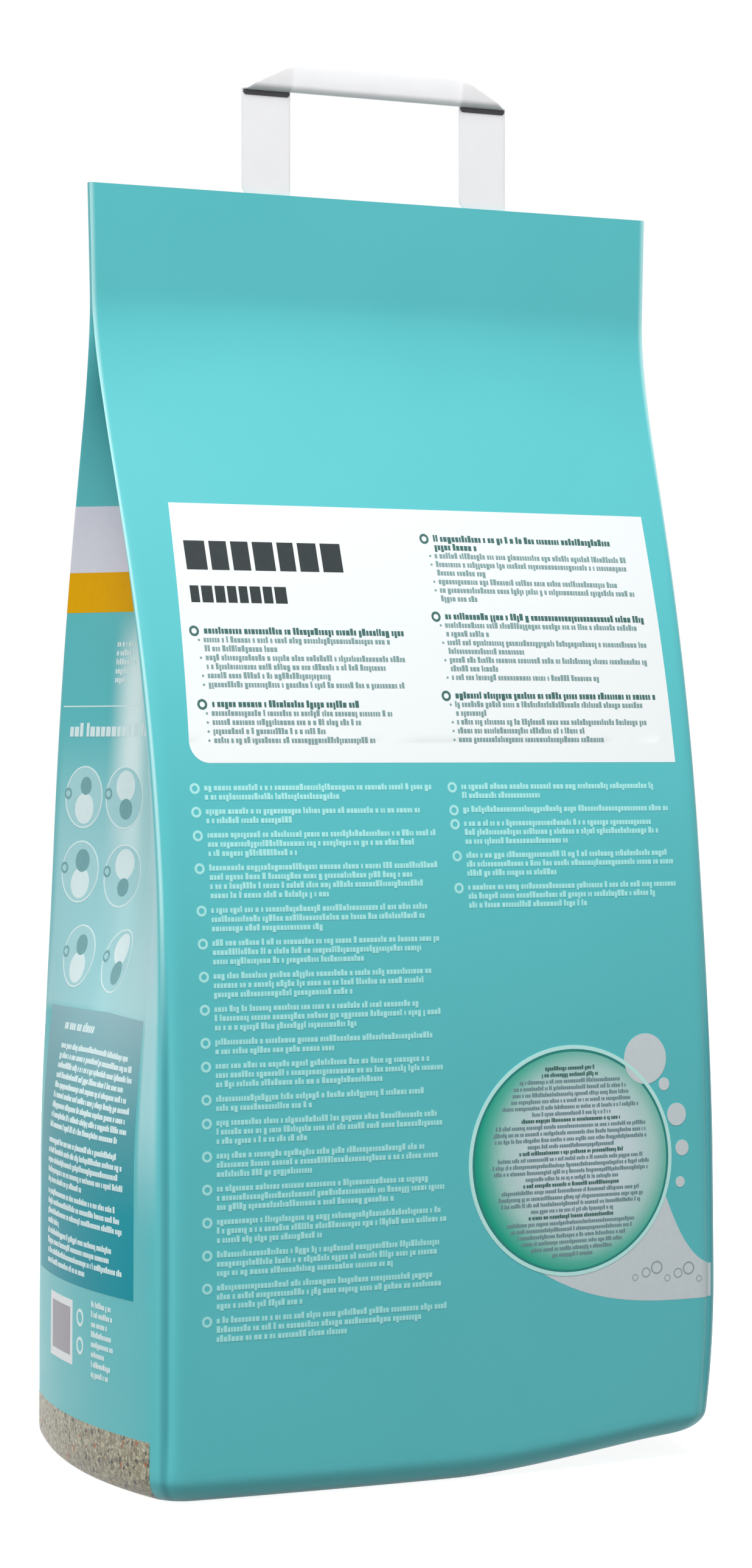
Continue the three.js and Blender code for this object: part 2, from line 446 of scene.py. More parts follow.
def makeFilm():
    columns = len(webPlaces) - 1  # the last place is the first one again
    rows = len(upPlaces)
    up, web = np.meshgrid(upPlaces, webPlaces[:-1], indexing="ij")
    points = list(filmPoint(web, up).reshape(-1, 3))
    faces, uvs = [], []

    def band(lower, upper, lowUp, highUp):
        for j in range(columns):
            k = (j + 1) % columns
            faces.append((lower + j, lower + k, upper + k, upper + j))
            left, right = webPlaces[j], webPlaces[j + 1]
            uvs.extend([(left, lowUp), (right, lowUp), (right, highUp), (left, highUp)])

    for i in range(rows - 1):
        band(i * columns, (i + 1) * columns, upPlaces[i], upPlaces[i + 1])

    # The underside: the rim's two long and two short edges, blended across. Its two long flaps
    # meet in a shallow valley.
    rim = np.array(points[:columns])
    deep, wide = columns // 2 - faceSteps, faceSteps
    front, back = rim[deep:deep + wide + 1], np.roll(rim, -1, 0)[::-1][:wide + 1]
    left, right = rim[deep::-1], rim[deep + wide:2 * deep + wide + 1]
    u = ((front[:, 0] - front[0, 0]) / (front[-1, 0] - front[0, 0]))[:, None, None]
    v = ((left[:, 1] - left[0, 1]) / (left[-1, 1] - left[0, 1]))[None, :, None]
    base = (1 - v) * front[:, None] + v * back[:, None] + (1 - u) * left[None] + u * right[None]
    base -= (1 - v) * ((1 - u) * front[0] + u * front[-1]) + v * ((1 - u) * back[0] + u * back[-1])
    fromMiddle = np.abs(base[..., 1]) / mm
    valley = flap["valley"] * smooth(fromMiddle, flap["edge"] + flap["slope"], flap["edge"])
    mitre = np.abs(np.abs(base[..., 0]) - (faceHalf - halfSide) * mm - np.abs(base[..., 1])) / mm
    valley = np.maximum(valley, flap["mitre"] * smooth(mitre, flap["slope"], 0))
    base[1:-1, 1:-1, 2] += valley[1:-1, 1:-1] * mm
    number = {}
    for a in range(wide + 1):
        for b in range(deep + 1):
            if 0 < a < wide and 0 < b < deep:
                number[a, b] = len(points)
                points.append(base[a, b])
            elif b in (0, deep):
                number[a, b] = deep + a if b == 0 else (columns - a) % columns
            else:
                number[a, b] = deep - b if a == 0 else deep + wide + b
    for a in range(wide):
        for b in range(deep):
            quad = ((a, b), (a, b + 1), (a + 1, b + 1), (a + 1, b))
            faces.append(tuple(number[q] for q in quad))
            uvs.extend([(base[q][0] / mm, base[q][1] / mm - underUp) for q in quad])

    # The cut top edge of the seal.
    top = (rows - 1) * columns
    faces.append(tuple(top + j for j in range(columns)))
    uvs.extend([(webPlaces[j], film["height"]) for j in range(columns)])

    shell = meshObject("film_bag", np.array(points), faces, printedFilm(), uvs, sharpAbove=50)
    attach(shell, "root")
    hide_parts("bag")


makeFilm()
print("film lofted")


# Print on the film. Each field of ink is a closed skin that stands a few hundredths of a
# millimetre proud, so that its edge is a real one.

ink = {"under": -0.03, "tint": 0.03, "field": 0.05, "over": 0.09, "top": 0.13}

# Letters and rings start this far proud, by what they are printed on.
base = {"film": 0.0, "tint": 0.02, "field": 0.03, "disc": 0.05, "motif": 0.06, "mark": 0.07}


def finishPiece(piece):
    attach(piece, "root")
    return piece


def placesBetween(places, low, high):
    clear = 0.05  # a place nearer than this to an end is left out
    inside = places[(places > low + clear) & (places < high - clear)]
    return np.concatenate([[low], inside, [high]])


def inkSkin(name, web, up, material, height=ink["field"]):
    # web and up are grids of places; the skin covers them and closes round their rim.
    points = np.concatenate([
        filmPoint(web, up, height).reshape(-1, 3),
        filmPoint(web, up, ink["under"]).reshape(-1, 3),
    ])
    faces = plateFaces(*web.shape)
    flat = np.stack([web.ravel(), up.ravel()], -1)
    flat = np.concatenate([flat, flat])
    uvs = flat[np.concatenate([np.array(f) for f in faces])]
    return finishPiece(meshObject(name, points, faces, material, uvs, sharpAbove=50))


def inkBox(name, box, material, height=ink["field"], corner=0.0, lean=0.0):
    # A rectangle in the film's own grid. Its lower corner at -X can be round, and its edge there
    # can lean in by this much at the top.
    left, right, low, high = box
    ups = placesBetween(upPlaces, low, high)
    if corner:
        quarter = np.linspace(0, math.pi / 2, 12)
        ups = np.union1d(ups, low + corner * (1 - np.cos(quarter)))
    across = placesBetween(twiceRound, left, right)
    share = (across - left) / (right - left)
    down = np.clip(1 - (ups - low) / corner, 0, 1) if corner else np.zeros_like(ups)
    lefts = left + corner * (1 - np.sqrt(1 - down * down)) + lean * (ups - low) / (high - low)
    web = lefts[:, None] + (right - lefts)[:, None] * share[None, :]
    up = np.repeat(ups[:, None], len(across), 1)
    inkSkin(name, web, up, material, height)


def inkRing(name, centre, inner, outer, material, height, squash, rings, sides=96):
    # A disc, or a ring round a hole, in polar steps. Its two ends meet, so it is welded there.
    smallest = 0.02  # a disc's middle is a hole of this radius
    radii = np.linspace(outer, max(inner, smallest), rings + 1)
    turns = np.linspace(0, 2 * math.pi, sides + 1)
    radius, turn = np.meshgrid(radii, turns, indexing="ij")
    web = centre[0] + radius * np.cos(turn)
    up = centre[1] + squash * radius * np.sin(turn)
    mesh = inkSkin(name, web, up, material, height).data
    tidy = bmesh.new()
    tidy.from_mesh(mesh)
    weldWithin, noArea = 1e-6, 1e-14  # m, and square metres
    bmesh.ops.remove_doubles(tidy, verts=tidy.verts, dist=weldWithin)
    flattened = [f for f in tidy.faces if f.calc_area() < noArea]
    bmesh.ops.delete(tidy, geom=flattened, context="FACES")
    bmesh.ops.recalc_face_normals(tidy, faces=tidy.faces)
    tidy.to_mesh(mesh)
    tidy.free()


panel = {"box": (-107.3, 112.4, 282.6, 384.6), "corner": 8.5, "lean": 3.9}
# The white ink is made paler low down and a little greyer near the top: painted light, evening out the
# panel, whose upper part leans back towards the lamps and whose lower part gets less light.
whiteStopsPaintedLight = [(0.0, "#F5FAFB"), (0.45, "#EDF2F3"), (1.0, "#EAEFF0")]
whiteInk = printedTintAndPaintedLight("white ink under satin film", whiteStopsPaintedLight, *panel["box"][2:], gloss=0.15)
inkBox("info_panel", panel["box"], whiteInk, corner=panel["corner"], lean=panel["lean"])

# Two bands run round the far face and both sides, and stop short of the information face.
bands = {"start": 129.0, "end": webWidth - 129.0, "pale": (359.0, 385.3), "amber": (343.0, 359.0)}
lilacInk = inkMaterial("lilac white ink on film", "#E4E5F0", "#DDDEEB")
amberInk = inkMaterial("amber ink on film", "#F5B500", "#EDAD00", gloss=0.1)
inkBox("pale_band", (bands["start"], bands["end"], *bands["pale"]), lilacInk)
inkBox("amber_band", (bands["start"], bands["end"], *bands["amber"]), amberInk)

# The dark text field on the side at -X.
notice = {"box": (-250.0, -143.0, 76.5, 183.5)}
noticeStops = [(0.0, "#0096A6"), (0.3, "#149CAA"), (0.6, "#57A4AD"), (1.0, "#93BEC6")]
noticeInk = printedTintAndPaintedLight("teal ink, tinted down the side", noticeStops, *notice["box"][2:])
inkBox("side_notice", notice["box"], noticeInk)


def grainInk():
    # A printed close-up of the filling: pale clay grains 1.5 mm across, edged in grey, with a
    # few dark and rust-coloured ones. It gives the foot a dry, stony look under the film's skin.
    material, tree, shader = newMaterial("granule print under film")
    place = addNode(tree, "ShaderNodeUVMap", uv_map="web").outputs[0]
    warp = addNode(tree, "ShaderNodeTexNoise", {"Vector": place, "Scale": 0.35, "Detail": 2.0})
    bend = (1.6, 1.6, 0.0)  # mm
    bent = addNode(tree, "ShaderNodeVectorMath", {
        0: warp.outputs["Color"], 1: bend,
    }, operation="MULTIPLY").outputs[0]
    bent = addNode(tree, "ShaderNodeVectorMath", {0: place, 1: bent}, operation="ADD").outputs[0]
    grain = {"Vector": bent, "Scale": 1 / 1.5, "Randomness": 1.0}
    cells = addNode(tree, "ShaderNodeTexVoronoi", grain)
    tone = addNode(tree, "ShaderNodeSeparateXYZ", {0: cells.outputs["Color"]}).outputs[0]
    stones = addNode(tree, "ShaderNodeValToRGB", {0: tone})
    stones.color_ramp.interpolation = "CONSTANT"
    setStops(stones, [
        (0.0, "#343329"), (0.07, "#A59E82"), (0.3, "#BEB99D"), (0.52, "#958B71"), (0.68, "#B2AC91"),
        (0.85, "#7B7460"), (0.94, "#A8602C"), (0.965, "#CAC5AE"),
    ])
    edges = addNode(tree, "ShaderNodeTexVoronoi", grain, feature="DISTANCE_TO_EDGE")
    dark = addNode(tree, "ShaderNodeMapRange", {0: edges.outputs[0], 1: 0.0, 2: 0.16, 3: 0.45, 4: 1.0})
    colour = addNode(tree, "ShaderNodeMix", {
        "Factor": 1.0, 6: stones.outputs[0], 7: dark.outputs[0],
    }, data_type="RGBA", blend_type="MULTIPLY")
    setInputs(tree, shader, {"Base Color": colour.outputs[2], "Roughness": 0.42, "IOR": 1.5})
    return material


grainField = {"start": 132.0, "end": webWidth - 132.0, "top": 24.0}
inkBox("granule_print", (grainField["start"], grainField["end"], footEnd, grainField["top"]), grainInk())
print("print fields laid")


# Greeked text and rings, grown by Geometry Nodes from one point for each line or ring. Text is
# rows of small blocks in place of letters.

def newTree(name, numbers, extra):
    # A tree that takes geometry, these numbers, one more input and an ink.
    tree = bpy.data.node_groups.new(name, "GeometryNodeTree")
    sockets = [("Geometry", "Geometry")] + [(number, "Float") for number in numbers]
    for socket, kind in sockets + [extra, ("Ink", "Material")]:
        tree.interface.new_socket(name=socket, in_out="INPUT", socket_type="NodeSocket" + kind)
    tree.interface.new_socket(name="Geometry", in_out="OUTPUT", socket_type="NodeSocketGeometry")
    return tree, addNode(tree, "NodeGroupInput").outputs


def makeReal(tree, inputs, material):
    # Puts a shape on each point, turns the copies into plain mesh and gives it the ink.
    copies = addNode(tree, "GeometryNodeInstanceOnPoints", inputs).outputs[0]
    real = addNode(tree, "GeometryNodeRealizeInstances", {"Geometry": copies}).outputs[0]
    inked = addNode(tree, "GeometryNodeSetMaterial", {"Geometry": real, "Material": material}).outputs[0]
    addNode(tree, "NodeGroupOutput", {"Geometry": inked})


def letterTree():
    numbers = {
        "Narrowest": 0.4, "Widest": 0.8, "Letter Gap": 0.19, "Word Gap": 0.42, "Word Breaks": 0.17,
        "Tall Share": 0.2, "Hanging Share": 0.08, "Stem": 0.38, "Ink Height": 0.1,
    }
    tree, start = newTree("textLines", numbers, ("Seed", "Int"))
    length, size, line = (
        addNode(tree, "GeometryNodeInputNamedAttribute", {"Name": name}, data_type=kind).outputs[0]
        for name, kind in (("lineLength", "FLOAT"), ("letterSize", "FLOAT"), ("lineIndex", "INT"))
    )
    densest = 1.6  # more letters than any line has room for, in each letter size of its length
    sizes = addNode(tree, "ShaderNodeMath", {0: length, 1: size}, operation="DIVIDE").outputs[0]
    most = addNode(tree, "ShaderNodeMath", {0: sizes, 1: densest}, operation="MULTIPLY").outputs[0]
    copies = addNode(tree, "GeometryNodeDuplicateElements", {
        "Geometry": start["Geometry"], "Amount": most,
    }, domain="POINT")

    seeds = [
        addNode(tree, "ShaderNodeMath", {0: start["Seed"], 1: step}, operation="ADD").outputs[0]
        for step in range(3)
    ]
    wide, breaks, tall = (
        addNode(tree, "FunctionNodeRandomValue", {"Seed": seed}, data_type="FLOAT") for seed in seeds
    )
    setInputs(tree, wide, {2: start["Narrowest"], 3: start["Widest"]})
    isGap = addNode(tree, "ShaderNodeMath", {
        0: breaks.outputs[1], 1: start["Word Breaks"],
    }, operation="LESS_THAN").outputs[0]
    isTall = addNode(tree, "ShaderNodeMath", {
        0: tall.outputs[1], 1: start["Tall Share"],
    }, operation="LESS_THAN").outputs[0]
    rest = addNode(tree, "ShaderNodeMath", {0: 1.0, 1: start["Hanging Share"]}, operation="SUBTRACT")
    hangs = addNode(tree, "ShaderNodeMath", {
        0: tall.outputs[1], 1: rest.outputs[0],
    }, operation="GREATER_THAN").outputs[0]

    # How far each letter moves on from the one before, and where the line is full.
    letterStep = addNode(tree, "ShaderNodeMath", {
        0: wide.outputs[1], 1: start["Letter Gap"],
    }, operation="ADD").outputs[0]
    step = addNode(tree, "ShaderNodeMath", {
        0: isGap, 1: start["Word Gap"], 2: letterStep,
    }, operation="MULTIPLY_ADD").outputs[0]
    step = addNode(tree, "ShaderNodeMath", {0: step, 1: size}, operation="MULTIPLY").outputs[0]
    run = addNode(tree, "GeometryNodeAccumulateField", {
        0: step, "Group ID": line,
    }, data_type="FLOAT", domain="POINT")
    fits = addNode(tree, "ShaderNodeMath", {
        0: run.outputs["Leading"], 1: length,
    }, operation="LESS_THAN").outputs[0]

    # Each letter's width and height. A tall one reaches up and a hanging one down.
    width = addNode(tree, "ShaderNodeMath", {0: wide.outputs[1], 1: size}, operation="MULTIPLY").outputs[0]
    longStem = addNode(tree, "ShaderNodeMath", {0: isTall, 1: hangs}, operation="ADD").outputs[0]
    height = addNode(tree, "ShaderNodeMath", {
        0: longStem, 1: start["Stem"], 2: 1.0,
    }, operation="MULTIPLY_ADD").outputs[0]
    height = addNode(tree, "ShaderNodeMath", {0: height, 1: size}, operation="MULTIPLY").outputs[0]
    shift = addNode(tree, "ShaderNodeMath", {0: isTall, 1: hangs}, operation="SUBTRACT").outputs[0]
    for factor in (start["Stem"], size, 0.5):
        shift = addNode(tree, "ShaderNodeMath", {0: shift, 1: factor}, operation="MULTIPLY").outputs[0]
    middle = addNode(tree, "ShaderNodeMath", {
        0: width, 1: 0.5, 2: run.outputs["Trailing"],
    }, operation="MULTIPLY_ADD").outputs[0]
    lift = addNode(tree, "ShaderNodeMath", {
        0: start["Ink Height"], 1: 0.5,
    }, operation="MULTIPLY").outputs[0]
    offset = addNode(tree, "ShaderNodeCombineXYZ", {0: middle, 1: shift, 2: lift}).outputs[0]
    placed = addNode(tree, "GeometryNodeSetPosition", {"Geometry": copies.outputs[0], "Offset": offset})
    block = addNode(tree, "GeometryNodeMeshCube", {"Size": (1.0, 1.0, 1.0)}).outputs[0]
    scale = addNode(tree, "ShaderNodeCombineXYZ", {0: width, 1: height, 2: start["Ink Height"]}).outputs[0]
    makeReal(tree, {
        "Points": placed.outputs[0], "Selection": fits, "Instance": block, "Scale": scale,
    }, start["Ink"])
    return tree, numbers


def grow(name, places, attributes, tree, settings):
    # Runs a tree on a mesh of points and keeps the result as a plain mesh.
    points = bpy.data.meshes.new(name)
    points.from_pydata([(web, up, 0) for web, up in places], [], [])
    for key, (kind, values) in attributes.items():
        points.attributes.new(key, kind, "POINT").data.foreach_set("value", values)
    thing = newObject(name, points)
    modifier = thing.modifiers.new("grow", "NODES")
    modifier.node_group = tree
    sockets = {s.name: s.identifier for s in tree.interface.items_tree if s.in_out == "INPUT"}
    for key, value in settings.items():
        modifier[sockets[key]] = value
    graph = bpy.context.evaluated_depsgraph_get()
    mesh = bpy.data.meshes.new_from_object(thing.evaluated_get(graph))
    thing.modifiers.remove(modifier)
    mesh.polygons.foreach_set("use_smooth", [False] * len(mesh.polygons))
    thing.data = mesh
    return thing


def wrapOnFilm(thing, proud):
    # Takes a flat layout in mm, web along X and up along Y, onto the film, from this far proud.
    flat = np.zeros(len(thing.data.vertices) * 3, np.float32)
    thing.data.vertices.foreach_get("co", flat)
    flat = flat.reshape(-1, 3).astype(float)
    placed = filmPoint(flat[:, 0], flat[:, 1], flat[:, 2] + proud)
    thing.data.vertices.foreach_set("co", placed.astype(np.float32).ravel())
    thing.data.update()
    finishPiece(thing)


textTree, textNumbers = letterTree()


def printLines(name, lines, material, seed, proud, **changes):
    # lines: (web, up, length, letter size), all in mm
    thing = grow(name, [line[:2] for line in lines], {
        "lineLength": ("FLOAT", [line[2] for line in lines]),
        "letterSize": ("FLOAT", [line[3] for line in lines]),
        "lineIndex": ("INT", list(range(len(lines)))),
    }, textTree, {**textNumbers, **changes, "Seed": seed, "Ink": material})
    wrapOnFilm(thing, proud)


def ringTree():
    sides = 28
    tree, start = newTree("rings", ("Radius", "Stroke", "Ink Height"), ("Solid", "Bool"))
    radius, thick = start["Radius"], start["Ink Height"]
    circle = addNode(tree, "GeometryNodeCurvePrimitiveCircle", {"Resolution": sides, "Radius": radius})
    profile = addNode(tree, "GeometryNodeCurvePrimitiveQuadrilateral", {0: start["Stroke"], 1: thick})
    ring = addNode(tree, "GeometryNodeCurveToMesh", {
        "Curve": circle.outputs[0], "Profile Curve": profile.outputs[0],
    }).outputs[0]
    disc = addNode(tree, "GeometryNodeMeshCylinder", {
        "Vertices": sides, "Fill Segments": 3, "Radius": radius, "Depth": thick,
    }, fill_type="TRIANGLE_FAN").outputs[0]
    shape = addNode(tree, "GeometryNodeSwitch", {
        "Switch": start["Solid"], "False": ring, "True": disc,
    }, input_type="GEOMETRY").outputs[0]
    size = addNode(tree, "GeometryNodeInputNamedAttribute", {
        "Name": "ringSize",
    }, data_type="FLOAT").outputs[0]
    scale = addNode(tree, "ShaderNodeCombineXYZ", {0: size, 1: size, 2: 1.0}).outputs[0]
    makeReal(tree, {"Points": start["Geometry"], "Instance": shape, "Scale": scale}, start["Ink"])
    return tree


iconTree = ringTree()


def printRings(name, rings, material, stroke, proud):
    # rings: (web, up, radius), all in mm. The stroke is a share of the radius, and with none the
    # ring is a filled disc.
    sizes = {"ringSize": ("FLOAT", [ring[2] for ring in rings])}
    thing = grow(name, [ring[:2] for ring in rings], sizes, iconTree, {
        "Radius": 1.0, "Stroke": stroke, "Ink Height": 0.1, "Solid": stroke == 0, "Ink": material,
    })
    wrapOnFilm(thing, proud)


def paragraph(web, up, lineCount, width, pitch, size, rng):
    # The lines of one paragraph: all near the full width, the last one shorter.
    ragged, last = 0.12, (0.35, 0.8)
    lines = []
    for i in range(lineCount):
        isLast = i == lineCount - 1 and lineCount > 1
        share = rng.uniform(*last) if isLast else 1 - rng.uniform(0, ragged)
        lines.append((web, up - i * pitch, width * share, size))
    return lines


body = {
    "top": 272.9, "pitch": 3.52, "gap": 2.0, "letter": 1.8, "ring": 1.62, "ringDrop": 0.1, "stroke": 0.6,
    # for each column: its rings, its text, its width, and how many lines each paragraph has
    "columns": [
        (-106.2, -102.2, 101.0, [2, 2, 3, 4, 3, 3, 3, 3, 2, 3, 2, 3, 3, 3, 3, 3, 3, 3]),
        (5.6, 9.8, 100.0, [2, 1, 3, 3, 3]),
    ],
}
paleInk = inkMaterial("pale aqua ink on film", "#B4F0EE", "#A6E6E5")
rng = np.random.default_rng(11)
bodyLines, bodyRings = [], []
for ringWeb, textWeb, width, counts in body["columns"]:
    up = body["top"]
    for count in counts:
        bodyRings.append((ringWeb, up - body["ringDrop"], body["ring"]))
        bodyLines += paragraph(textWeb, up, count, width, body["pitch"], body["letter"], rng)
        up -= count * body["pitch"] + body["gap"]
printLines("body_text", bodyLines, paleInk, 3, base["film"])
printRings("body_rings", bodyRings, paleInk, body["stroke"], base["film"])

panelText = {
    "heading": 1.95, "letter": 1.7, "pitch": 3.5, "ring": 1.6, "stroke": 0.62,
    "toHeading": 4.2, "toText": 3.6, "toBullet": 1.6, "bullet": 0.5,
    # for each block: left, top, lengths of its heading's lines, lengths of each bullet's lines
    "blocks": [
        (-100.0, 333.8, [88], [[82, 32], [88, 78], [53], [86]]),
        (-100.0, 305.2, [64], [[80], [67], [49], [71]]),
        (7.0, 372.6, [84, 22], [[92], [91, 23], [85], [94, 17]]),
        (7.0, 340.9, [95], [[92, 20], [96, 37], [95, 23], [70]]),
        (7.0, 309.1, [96], [[90, 15], [90], [60], [69]]),
    ],
}
headInk = inkMaterial("dark green ink on white", "#3A635F", "#446E6A")
greyInk = inkMaterial("grey green ink on white", "#7C9A9A", "#88A4A3")
headLines, greyLines, panelRings, bullets = [], [], [], []
for left, top, headings, paragraphs in panelText["blocks"]:
    panelRings.append((left, top, panelText["ring"]))
    up = top
    for length in headings:
        headLines.append((left + panelText["toHeading"], up, length, panelText["heading"]))
        up -= panelText["pitch"]
    for lengths in paragraphs:
        bullets.append((left + panelText["toBullet"], up, panelText["bullet"]))
        for length in lengths:
            greyLines.append((left + panelText["toText"], up, length, panelText["letter"]))
            up -= panelText["pitch"]
printLines("panel_headings", headLines, headInk, 21, base["field"])
printLines("panel_text", greyLines, greyInk, 31, base["field"])
printRings("panel_bullets", bullets, greyInk, 0, base["field"])
printRings("panel_rings", panelRings, headInk, panelText["stroke"], base["field"])

# Where a name would be: plain even blocks of a headline's size.
headline = [(-99.5, 363.8, 73.0, 11.5), (-99.5, 348.4, 43.0, 6.6)]
evenBlocks = {
    "Narrowest": 0.56, "Widest": 0.78, "Letter Gap": 0.16, "Word Breaks": 0.0, "Tall Share": 0.0,
    "Hanging Share": 0.0,
}
blackInk = inkMaterial("near-black ink on white", "#20282A", "#2A3335")
printLines("headline_blocks", headline, blackInk, 45, base["field"], **evenBlocks)
print("text laid")


# Print on the side at -X

side = {
    # single lines: left, up, length, letter size
    "heading": (-252.0, 295.0, 78.0, 4.0), "noticeHeading": (-232.0, 176.0, 32.0, 2.7),
    # plain columns: left, top, pitch, letter size, lengths
    "block": (-223.0, 330.0, 3.6, 1.8, [14, 11, 14, 12, 9]),
    "small": (-176.0, 71.0, 3.9, 1.7, [17, 19, 15, 18, 19, 12, 18, 16]),
    "noticeLeft": -232.0, "noticeWidth": 85.0, "noticePitch": 3.95, "noticeLetter": 1.8,
    # top and lengths of each paragraph, as shares of the width
    "paragraphs": [
        (168.0, [0.93, 0.97, 1.0, 0.92, 0.95, 1.0, 0.96, 0.99, 0.9]),
        (130.2, [0.9, 0.95, 0.93, 0.97, 0.55]),
        (109.6, [0.9, 0.95, 0.97, 0.22]),
        (93.6, [0.88, 0.84, 0.97, 0.6]),
    ],
    "rule": (-258.0, -150.0, 305.0, 305.5),
    "patch": (-226.0, -195.5, 44.5, 70.0), "patchField": (-222.5, -198.0, 48.0, 67.0),
    "icons": [(-187.3, 64.3, 2.9), (-187.3, 53.3, 2.9)], "iconStroke": 0.42,
    "discs": [(-240, 268.4), (-212.5, 268.4), (-240, 238), (-210.7, 237), (-232.3, 204), (-199.4, 203.4)],
    "disc": 12.4,
}


def column(left, top, pitch, size, lengths):
    return [(left, top - i * pitch, length, size) for i, length in enumerate(lengths)]


sideInk = inkMaterial("white ink on teal", "#EAFAFB", "#E0F6F7")
fieldInk = inkMaterial("warm grey ink on white", "#AAA6AC", "#9E9BA2")
sideLines = [side["heading"], *column(*side["block"]), side["noticeHeading"]]
for top, shares in side["paragraphs"]:
    lengths = [share * side["noticeWidth"] for share in shares]
    sideLines += column(side["noticeLeft"], top, side["noticePitch"], side["noticeLetter"], lengths)
sideLines += column(*side["small"])
printLines("side_text", sideLines, sideInk, 71, base["field"])
inkBox("side_rule", side["rule"], sideInk)
inkBox("side_patch", side["patch"], whiteInk)
inkBox("side_patch_field", side["patchField"], fieldInk, ink["over"])
printRings("side_icons", side["icons"], sideInk, side["iconStroke"], base["field"])

# Six tinted discs with a thin outline, each with a pale dot, a deeper one on its other side, and a
# small ring at its edge.
motif = {
    "away": 4.6, "pale": 6.3, "paleOver": 0.6, "deep": 3.7, "deepOver": 1.2, "growth": 0.5,
    "mark": 1.9, "markIn": 1.6, "markUp": 1.5, "markStroke": 0.5, "outlineStroke": 0.05,
}
discs = side["discs"]
discTint = inkMaterial("pale tint on film", "#B2E0E4", "#A8DADF")
motifInk = inkMaterial("grey teal ink on film", "#6FA6AA", "#7FB0B4")
whole = [(web, up, side["disc"]) for web, up in discs]
marks = [(web - side["disc"] + motif["markIn"], up + motif["markUp"], motif["mark"]) for web, up in discs]
pale, deep = [], []
for i, (web, up) in enumerate(discs):
    away = motif["away"] if i % 2 else -motif["away"]
    pale.append((web + motif["paleOver"], up + away, motif["pale"]))
    deep.append((web + motif["deepOver"], up - away, motif["deep"] + motif["growth"] * (i % 3)))
printRings("side_discs", whole, discTint, 0, base["film"])
printRings("side_disc_outlines", whole, sideInk, motif["outlineStroke"], base["disc"])
printRings("side_disc_dots", pale, sideInk, 0, base["disc"])
printRings("side_disc_motifs", deep, motifInk, 0, base["motif"])
printRings("side_disc_marks", marks, motifInk, motif["markStroke"], base["mark"])


# The round feature low on the information face: a plain disc with a green rim.

roundel = {
    "centre": (54.4, 123.8), "outer": 47.7, "rim": 46.3, "edge": 45.4,
    "squash": 0.967,  # its height as a share of its width
    "tintAway": (3.5, 2.0),  # the tint is palest this far off its centre
    "edgeLap": 0.3, "rimLap": 0.2,  # each ring starts this far inside the one before
}


def roundelInk():
    # Halftone tint: pale grey green that deepens to a clear green at the rim, most at its lower left.
    material, tree, shader = newMaterial("green halftone tint on film")
    centre = [c + away for c, away in zip(roundel["centre"], roundel["tintAway"])] + [0.0]
    place = addNode(tree, "ShaderNodeUVMap", uv_map="web").outputs[0]
    out = addNode(tree, "ShaderNodeVectorMath", {0: place, 1: centre}, operation="DISTANCE")
    reach = roundel["edge"] + math.hypot(*roundel["tintAway"])
    share = addNode(tree, "ShaderNodeMapRange", {0: out.outputs["Value"], 1: 0.0, 2: reach})
    ramp = addNode(tree, "ShaderNodeValToRGB", {0: share.outputs[0]})
    setStops(ramp, [
        (0.0, "#E0EEF4"), (0.5, "#D2E4E8"), (0.72, "#B2D8D3"), (0.86, "#5CB9A6"), (0.95, "#14A488"),
        (1.0, "#0A8C76"),
    ])
    setInputs(tree, shader, {
        "Base Color": ramp.outputs[0], "Roughness": 0.42, "Specular IOR Level": 0.3,
    })
    return material


rimInk = inkMaterial("pale cyan ink on film", "#C9F6F1", "#BDEFEA")
edgeInk = inkMaterial("deep green ink on film", "#1E7F78", "#27877F")
for name, inner, outer, material, height, rings in (
    ("roundel_disc", 0, roundel["edge"], roundelInk(), ink["field"], 12),
    ("roundel_edge", roundel["edge"] - roundel["edgeLap"], roundel["rim"], edgeInk, ink["over"], 2),
    ("roundel_rim", roundel["rim"] - roundel["rimLap"], roundel["outer"], rimInk, ink["top"], 2),
):
    inkRing(name, roundel["centre"], inner, outer, material, height, roundel["squash"], rings)

discText = {
    # groups of centred lines: how many of heading, then of text
    "groups": [(2, 6), (1, 4), (1, 4), (1, 4), (1, 6)], "top": 37.0, "pitch": 2.56, "letter": 1.15,
    "radius": 42.0,  # the lines stay in a circle of this size, and take up these shares of its chords
    "headShare": 0.62, "textShare": 0.9, "lastShare": 0.6, "ragged": 0.1,
}
discLines, discHeads = [], []
rise = discText["top"]
for heads, texts in discText["groups"]:
    for i in range(heads + texts):
        share = discText["headShare"] if i < heads else discText["textShare"]
        half = math.sqrt(discText["radius"] ** 2 - rise ** 2) * share
        half *= 1 - rng.uniform(0, discText["ragged"])
        half *= discText["lastShare"] if i == heads + texts - 1 else 1.0
        target = discHeads if i < heads else discLines
        web = roundel["centre"][0] - half
        target.append((web, roundel["centre"][1] + rise, 2 * half, discText["letter"]))
        rise -= discText["pitch"]
discInk = inkMaterial("slate ink on tint", "#6C8A90", "#78949A")
printLines("roundel_text", discLines, discInk, 51, base["field"])
printLines("roundel_headings", discHeads, headInk, 61, base["field"], Widest=0.9)

# Beside it, plain shapes in the pale tint: a wedge in from the bag's edge, a row of dots beside the
# rim, and thin rings on the wedge.
wedge = {
    "left": 39.0, "right": 124.0, "low": 63.0, "rise": 17.5, "riseBend": 3, "high": 77.5,
    "fall": 33.0, "fallWidth": 26.0, "fallBend": 2.2, "underDisc": 0.8, "steps": (90, 24),
}
tintInk = inkMaterial("pale grey tint on film", "#D6DFE2", "#CDD7DA")
across, share = np.meshgrid(*(np.linspace(0, 1, n) for n in wedge["steps"]), indexing="xy")
wedgeWeb = wedge["left"] + (wedge["right"] - wedge["left"]) * across
lowEdge = wedge["low"] + wedge["rise"] * (1 - across) ** wedge["riseBend"]
chord = np.sqrt(np.clip(roundel["rim"] ** 2 - (wedgeWeb - roundel["centre"][0]) ** 2, 0, None))
underDisc = roundel["centre"][1] - roundel["squash"] * chord + wedge["underDisc"]
